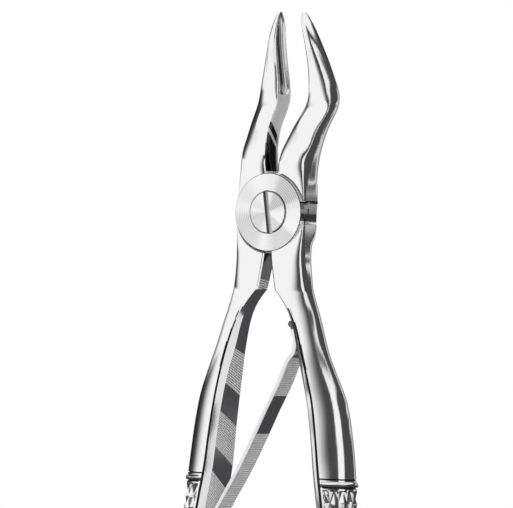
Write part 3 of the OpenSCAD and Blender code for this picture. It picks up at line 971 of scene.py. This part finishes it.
# %% Flank of the laps
FLANK_SPAN = 5
FLANK_BANDS = [
    (-1.62, "#EDEDEE"), (-1.55, PAINTED_SHADE_GREY), (-0.25, PAINTED_SHADE_GREY), (0.1, "#BDBDBF"), (1.7, "#E2E2E4"),
    (1.9, "#E2E2E4"), (2, "#2E2E30"),
]
flank, tree, shader = steel("flank_painted_shade_steel", "#EDEDEE", 0.2)
level = maths(tree, "MULTIPLY_ADD", object_axes(tree)[2], 1 / (FLANK_SPAN * MM), 0.5)
bands = [(at / FLANK_SPAN + 0.5, linear(colour)) for at, colour in FLANK_BANDS]
tree.links.new(ramp_over(tree, level, bands), shader.inputs["Base Color"])
print("flank with", len(bands), "stops")

# %% [markdown]
# The beak's hollow carries painted shade: it is darkest along its front side and lighter towards the
# back and the lower end, where it runs out. The UV map's first coordinate starts at the hollow's rear
# rim, so a ramp over it paints that shade across the hollow, whatever way the beak leans.

# %% Hollow
HOLLOW_ROUND = 4
HOLLOW_SHADES = [
    (0, "#F4F4F5"), (0.22, "#E2E2E4"), (0.45, "#9A9A9C"), (0.62, "#4C4C4E"), (1, "#3E3E40"),
]
FOOT_FADE = 2.4
hollow_steel, tree, shader = steel("hollow_steel", BRIGHT, 0.22)
place = node(tree, "UVMap", uv_map="finish")
around = node(tree, "SeparateXYZ", {0: place.outputs[0]}).outputs[0]
shades = [(at, linear(colour)) for at, colour in HOLLOW_SHADES]
shaded = ramp_over(tree, maths(tree, "DIVIDE", around, HOLLOW_ROUND), shades)
# The ramp takes the first colour's place, and the second shows at the hollow's lower end.
foot = (hollow_start + FOOT_FADE) / FOOT_FADE
low_end = maths(tree, "MULTIPLY_ADD", object_axes(tree)[2], -1 / (FOOT_FADE * MM), foot)
clear = node(tree, "Clamp", {0: low_end})
tint = tinted(tree, shader, clear.outputs[0], BRIGHT, BRIGHT)
tree.links.new(shaded, tint.inputs["Color1"])
print("hollow shaded over", len(shades), "stops")

# %% [markdown]
# ## Levers in place
# A boolean leaves no groups of faces to pick, so each face gets its finish by where its middle lies
# and which way it looks. One test for each region names the finish or passes the face on. The levers
# have so many faces that the tests read the smooth tracks from fine tables, made once.

# %% Put the levers in place
SHARP_ANGLE = math.radians(24)
POLISHED, MILLED, TURNED, HANDLE_FLAT, JAW_FLAT, DARK_LINE, THROAT, FLANK, HOLLOW, COLLAR = range(10)
TOUCH = 0.05
FLANK_HALF = 2.38
THROAT_START = 8
DARK_BAND = (-0.02, 0.32)
COLLAR_FOOT = (1.15, 1.86)
CREASE_WIDTHS = (0.1, 0.56)
fine = np.arange(NECK_START, HANDLE_LEN, 0.1)
fine_columns = [[eased(HANDLE_STATIONS, c, d, CORNER_AT) for d in fine] for c in (1, 7, 3, 4)]
jaw_fine = np.arange(hollow_start, JAW_LEN, 0.1)
jaw_columns = [[eased(JAW_STATIONS, c, d) for d in jaw_fine] for c in (3, 4)]


def flank_finish(x, y, z, normal):
    sideways = abs(normal.x)
    on_flank = abs(z) < FLANK_HALF and abs(x) > WAIST_HALF - 0.35 and sideways > 0.5
    if not on_flank or y < boss_y + EDGE_BREAK + 0.01:
        return None
    # The break between the laps gets the painted shade line.
    split = abs(y - LAP_SPLIT) < SPLIT_BREAK + 0.06 and sideways < 0.95
    return DARK_LINE if split else FLANK


def handle_finish(x, y, z, normal):
    side, d = abs(x), -z
    if not THROAT_START < d < round_start:
        return None
    x0, land, middle, half = [float(np.interp(d, fine, column)) for column in fine_columns]
    beside = side - x0 - land  # how far outside the land
    # Painted shade at the collar: a dark line in the fine line above it, and dark grey on its lower
    # flank.
    for band, finish in ((DARK_BAND, DARK_LINE), (COLLAR_FOOT, COLLAR)):
        if beside > 0.6 and band[0] < d - COLLAR_AT < band[1]:
            return finish
    if abs(side - x0) < 0.06 and abs(normal.x) > 0.6:
        return HANDLE_FLAT if d > CORNER_AT else THROAT
    width = mix(*CREASE_WIDTHS, smooth_ramp(d, CREASE_FROM, 27))
    scribed_here = 0 < beside < width and y < middle - half + 0.3
    return DARK_LINE if scribed_here and d > CREASE_FROM + 0.4 else None


def jaw_finish(x, y, z, normal):
    if hollow_start < z < hollow_end and normal.x * x < 0:
        middle, half = [float(np.interp(z, jaw_fine, column)) for column in jaw_columns]
        w = hollow_half(half)
        if abs(y - middle) < w and hollow_at(y - middle, w, z) > 0.06:
            return HOLLOW
    above_joint = cutter_r + TOUCH < z < hollow_start
    if above_joint and abs(normal.x) > 0.75 and abs(x) < track(JAW_STATIONS, 1, z) - 1:
        return JAW_FLAT
    return None


def joint_finish(x, y, z, normal):
    radius = math.hypot(x, z)
    # The boss's edge break gets the painted shade line.
    if boss_y < y < boss_y + EDGE_BREAK and LAP_R - EDGE_BREAK < radius < LAP_R:
        return DARK_LINE
    on_boss = normal.y < -0.9 and y < boss_y + TOUCH
    on_rear_face = normal.y > 0.9 and y > JOINT_REAR - TOUCH
    if radius < LAP_R + TOUCH and (on_boss or on_rear_face):
        return TURNED
    boss_side = abs(radius - LAP_R) < TOUCH and y < boss_root
    inside = radius < cutter_r + 0.02 and y > JOINT_FRONT + 0.02
    return MILLED if boss_side or inside else None


def finish_of(face):
    """The number of a face's finish, which is its steel's place in the levers' list."""
    x, y, z = (c / MM for c in face.center)
    for test in (flank_finish, handle_finish, jaw_finish, joint_finish):
        found = test(x, y, z, face.normal)
        if found is not None:
            return found
    return POLISHED


def placed(name, mesh, body, nodes, slots, finish=None):
    """Shades a mesh, gives it its finishes, and puts it on its body in place of its nodes."""
    mesh.materials.clear()
    for slot in slots:
        mesh.materials.append(slot)
    mesh.shade_smooth()
    mesh.set_sharp_from_angle(angle=SHARP_ANGLE)
    for face in mesh.polygons:
        face.material_index = finish(face) if finish else 0
    mesh.name = name
    piece = new_object(name, mesh)
    if body:
        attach(piece, body)
    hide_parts(*nodes)
    return piece


lever_steels = [polished, milled, turned, handle_flat, jaw_flat, scribed, throat_flat, flank]
lever_steels += [hollow_steel, dark]
for side, mesh in (("front", front_mesh), ("rear", rear_mesh)):
    body = side + "_lever"
    piece = placed(body + "_skin", mesh, body, [side + "_half"], lever_steels, finish_of)
    print(piece.name, len(mesh.polygons), "faces")

# %% [markdown]
# ## Joint screw
# A turned screw with a slotted head. Its plain shank is the pivot, and its thread holds in the rear
# lap. It is a lathe profile with one boolean for the slot.

# %% Joint screw
HEAD_PROUD = 0.2
SLOT_W = 1.2
SLOT_DEPTH = 0.9
SLOT_TILT = math.radians(9)
THREAD_BREAK = 0.25
HEAD_BREAK, HEAD_ROUND = 0.16, 0.05
head_y = boss_y - HEAD_PROUD
screw_mesh = along_y(
    "joint_screw_blank",
    [
        (THREAD_R - THREAD_BREAK, JOINT_REAR), (THREAD_R, JOINT_REAR - THREAD_BREAK),
        (THREAD_R, LAP_SPLIT), (SHANK_R, LAP_SPLIT), (SHANK_R, head_seat), (HEAD_R, head_seat),
        (HEAD_R, head_y + HEAD_BREAK), (HEAD_R - HEAD_ROUND, head_y + HEAD_ROUND),
        (HEAD_R - HEAD_BREAK, head_y),
    ],
)


def block(name, low, high):
    """A plain cutting block between two corners, in millimetres."""
    ring = [(low[0], low[1]), (high[0], low[1]), (high[0], high[1]), (low[0], high[1])]
    return loft(name, [[(x, y, z) for x, y in ring] for z in (low[2], high[2])])


slot_tool = block(
    "slot_tool",
    (-SLOT_W / 2, head_y - 1, -HEAD_R - 1),
    (SLOT_W / 2, head_y + SLOT_DEPTH, HEAD_R + 1),
)
slot_tool.transform(Matrix.Rotation(-SLOT_TILT, 4, "Y"))
screw_mesh = combined(screw_mesh, slot_tool, "DIFFERENCE")
report("joint screw", screw_mesh)


def screw_finish(face):
    """0 turned, 1 the slot's walls, 2 its floor."""
    y = face.center.y / MM
    inside = math.hypot(*face.center.xz) / MM < HEAD_R - 0.02
    if inside and face.normal.y < -0.9 and abs(y - head_y - SLOT_DEPTH) < 0.02:
        return 2
    return 1 if inside and head_y + 0.01 < y < head_y + SLOT_DEPTH + 0.05 else 0


joint_screw = placed(
    "joint_screw_skin", screw_mesh, "rear_lever", ["joint_screw"], [turned, dark, milled], screw_finish
)
print(joint_screw.name, len(screw_mesh.polygons), "faces")

# %% [markdown]
# ## Leaf spring
# A strip of spring steel, screwed to the left handle, bows over to the right handle and ends in a
# small roll. It has to bend as the handles close; here it is one fixed mesh, on neither lever's body.

# %% Leaf spring
SPRING_W = 4.8
SPRING_T = 0.9
SPRING_MID = -2.2
ROLL_R = 0.65
ROLL_BREAK = 0.08
STRIP_CORNER = 0.12
SPRING_END = 76
FOOT_TOP = 65
ROLL_AT = 22.1
CREST_AT = 25.8
RUB_GAP = 0.2
SEAT_GAP = 0.02


def inner_x(d):
    return track(HANDLE_STATIONS, 1, d)


def foot_x(d):
    return SEAT_GAP + SPRING_T / 2 - inner_x(d)


crest_x = inner_x(CREST_AT) - RUB_GAP - SPRING_T / 2
roll_x = inner_x(ROLL_AT) - RUB_GAP - ROLL_R
ARM_AT, ARM_X = 29.6, 4.6
ARM_SHARES = [(0.11, 0.09), (0.28, 0.26), (0.45, 0.42), (0.62, 0.59), (0.81, 0.81)]
SPRING_STATIONS = [
    [ROLL_AT, roll_x + ROLL_R - SPRING_T / 2], [23.6, crest_x - 0.55], [CREST_AT, crest_x],
    [27.6, crest_x - 0.3], [ARM_AT, ARM_X],
    *[[mix(ARM_AT, FOOT_TOP, run), mix(ARM_X, foot_x(FOOT_TOP), drop)] for run, drop in ARM_SHARES],
    [FOOT_TOP, foot_x(FOOT_TOP)], [FOOT_TOP + 1, foot_x(FOOT_TOP + 1)],
]


def spring_x(d):
    return foot_x(d) if d > FOOT_TOP else track(SPRING_STATIONS, 1, d)


def strip_section(half_t, half_w, corner):
    """Points round a strip's section, with rounded corners, as offsets across and along Y."""
    centres = [(1, -1), (1, 1), (-1, 1), (-1, -1)]
    ring = []
    for k, (a, b) in enumerate(centres):
        for t in range(4):
            turn = math.radians(-90 + 90 * k + 30 * t)
            across = a * (half_t - corner) + corner * math.cos(turn)
            ring.append((across, b * (half_w - corner) + corner * math.sin(turn)))
    return ring


section = strip_section(SPRING_T / 2, SPRING_W / 2, STRIP_CORNER)
STRIP_STEPS = 160
STEP = 0.05
strip_rings = []
for d in np.linspace(SPRING_END, ROLL_AT, STRIP_STEPS):
    lean = (spring_x(d + STEP) - spring_x(d)) / STEP
    run = math.hypot(1, lean)
    strip_rings.append([(spring_x(d) + p / run, SPRING_MID + q, -d + p * lean / run) for p, q in section])
strip = loft("spring_strip", strip_rings)
roll_rear, roll_front = SPRING_MID + SPRING_W / 2, SPRING_MID - SPRING_W / 2
roll = along_y(
    "roll",
    [
        (ROLL_R - ROLL_BREAK, roll_rear), (ROLL_R, roll_rear - ROLL_BREAK),
        (ROLL_R, roll_front + ROLL_BREAK), (ROLL_R - ROLL_BREAK, roll_front),
    ],
)
roll.transform(Matrix.Translation((roll_x * MM, 0, -ROLL_AT * MM)))
spring_mesh = combined(strip, roll, "UNION")
report("leaf spring", spring_mesh)


def spring_finish(face):
    """0 brushed edges, 1 broad faces, 2 the roll."""
    if -face.center.z / MM < ROLL_AT + 1.1:
        return 2
    return 1 if abs(face.normal.y) < 0.5 else 0


leaf_spring = placed(
    "leaf_spring_skin", spring_mesh, None, ["leaf_spring"], [brushed, spring_flat, dark], spring_finish
)
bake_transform(leaf_spring)

# %% [markdown]
# ## Spring screw
# The picture ends above this screw, so it is a plain small cheese head with a slot.

# %% Spring screw
SPRING_SCREW_AT = 70
SMALL_HEAD_R = 1.7
SMALL_HEAD_H = 0.9
SMALL_BREAK = 0.12
SMALL_SLOT_W, SMALL_SLOT_DEPTH = 0.5, 0.5
SMALL_THREAD_R = 0.9
SMALL_THREAD_LEN = 4
handle_face = -inner_x(SPRING_SCREW_AT)
small_head_x = handle_face + SPRING_T + 3 * SEAT_GAP
small_profile = [
    (SMALL_THREAD_R, SMALL_THREAD_LEN), (SMALL_THREAD_R, 0), (SMALL_HEAD_R, 0),
    (SMALL_HEAD_R, SMALL_BREAK - SMALL_HEAD_H), (SMALL_HEAD_R - SMALL_BREAK, -SMALL_HEAD_H),
]
small_mesh = along_y("spring_screw_blank", small_profile)
small_slot = block(
    "small_slot",
    (-SMALL_SLOT_W / 2, -SMALL_HEAD_H - 1, -SMALL_HEAD_R - 1),
    (SMALL_SLOT_W / 2, SMALL_SLOT_DEPTH - SMALL_HEAD_H, SMALL_HEAD_R + 1),
)
small_mesh = combined(small_mesh, small_slot, "DIFFERENCE")
small_mesh.transform(
    Matrix.Translation((small_head_x * MM, SPRING_MID * MM, -SPRING_SCREW_AT * MM))
    @ Matrix.Rotation(math.pi / 2, 4, "Z")
)
report("spring screw", small_mesh)
spring_screw = placed("spring_screw_skin", small_mesh, "rear_lever", ["spring_screw"], [polished])
